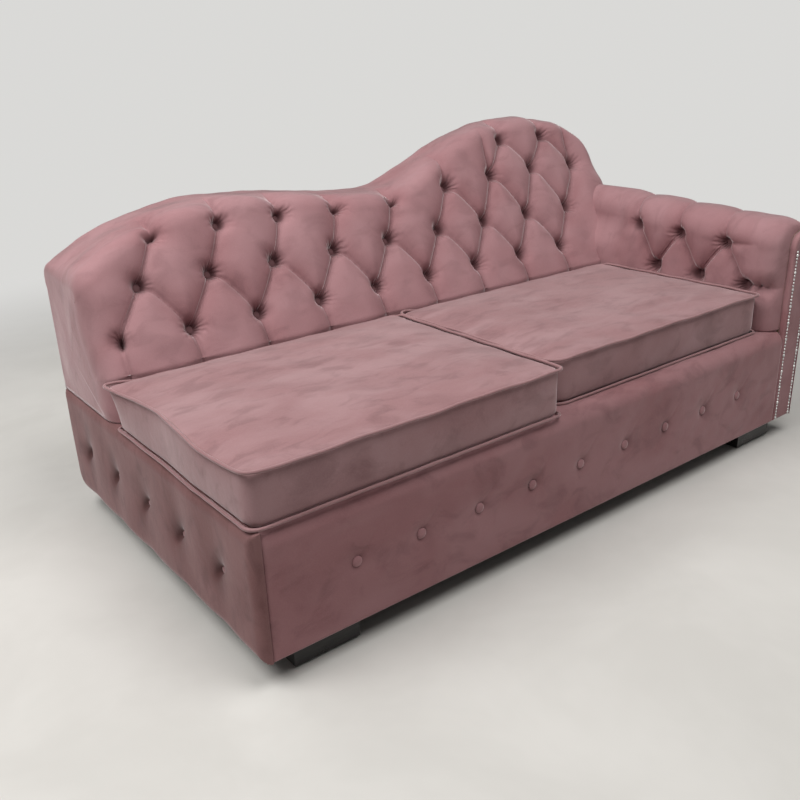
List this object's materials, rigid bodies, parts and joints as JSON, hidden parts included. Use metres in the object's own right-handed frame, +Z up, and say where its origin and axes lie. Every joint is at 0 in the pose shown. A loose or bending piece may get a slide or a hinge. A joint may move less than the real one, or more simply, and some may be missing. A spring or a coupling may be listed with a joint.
{
  "type": "fainting couch",
  "caption": "Fainting couch: a serpentine deep-buttoned back rises to a crown beside a tufted arm, with loose piped seat cushions, a buttoned base, nail trim on the arm's front and block feet",
  "frame": {"origin": "on the floor under the middle of the couch's bounding box", "axes": "+X from the open end to the arm end, +Y from the front to the back, +Z up"},
  "size_m": [1.87, 1.03, 0.9221],
  "materials": {
    "velvet": "dusty rose velvet pile",
    "velvet_trim": "dusty rose velvet, covered buttons and piping",
    "deck_cloth": "velvet over foam",
    "pine": "planed, bare",
    "board": "pressed board, bare",
    "foam": "upholstery foam",
    "felt": "grey needled felt",
    "dust_cloth": "black spunbond cloth",
    "steel": "zinc plated",
    "silver_trim": "polished silver-coloured nail heads",
    "black_wood": "black satin lacquer",
    "glide": "grey nylon",
    "zip": "nylon coil, rose"
  },
  "bodies": {
    "couch_frame": {"arm_outer_panel": "velvet", "back_left_pad": "velvet", "back_right_pad": "velvet", "back_right_end": "velvet", "rear_cover": "velvet", "front_panel": "velvet", "arm_pad": "velvet", "arm_facing": "velvet", "side_panel": "velvet", "back_left_end": "velvet", "front_buttons": "velvet_trim", "side_buttons": "velvet_trim", "arm_buttons": "velvet_trim", "back_buttons": "velvet_trim", "deck_pad": "deck_cloth", "front_rail": "pine", "rear_rail": "pine", "left_rail": "pine", "right_rail": "pine", "spring_rail": "pine", "back_bearer": "pine", "cross_rails": "pine", "corner_blocks": "pine", "arm_posts": "pine", "back_base_rails": "pine", "foot_plates": "board", "arm_inner_board": "board", "arm_outer_board": "board", "arm_top_former": "board", "back_ribs": "board", "back_kick_board": "board", "back_front_board": "board", "back_top_board": "board", "back_rear_board": "board", "deck_felt": "felt", "dust_cover": "dust_cloth", "foot_bolts": "steel", "arm_bolts": "steel", "back_bolts": "steel", "zigzag_springs": "steel", "spring_clips": "steel", "nail_strips": "silver_trim", "trim_nails": "silver_trim", "feet": "black_wood", "foot_glides": "glide"},
    "left_cushion": {"left_cushion_cover": "velvet", "left_cushion_core": "foam", "left_piping": "velvet_trim", "left_zip": "zip"},
    "right_cushion": {"right_cushion_cover": "velvet", "right_cushion_core": "foam", "right_piping": "velvet_trim", "right_zip": "zip"}
  },
  "joints": [
    {"name": "left_cushion_lift", "type": "slide", "parent": "couch_frame", "child": "left_cushion", "axis": [0, 0, 1], "range_m": [0, 0.6]},
    {"name": "right_cushion_lift", "type": "slide", "parent": "couch_frame", "child": "right_cushion", "axis": [0, 0, 1], "range_m": [0, 0.6]}
  ]
}
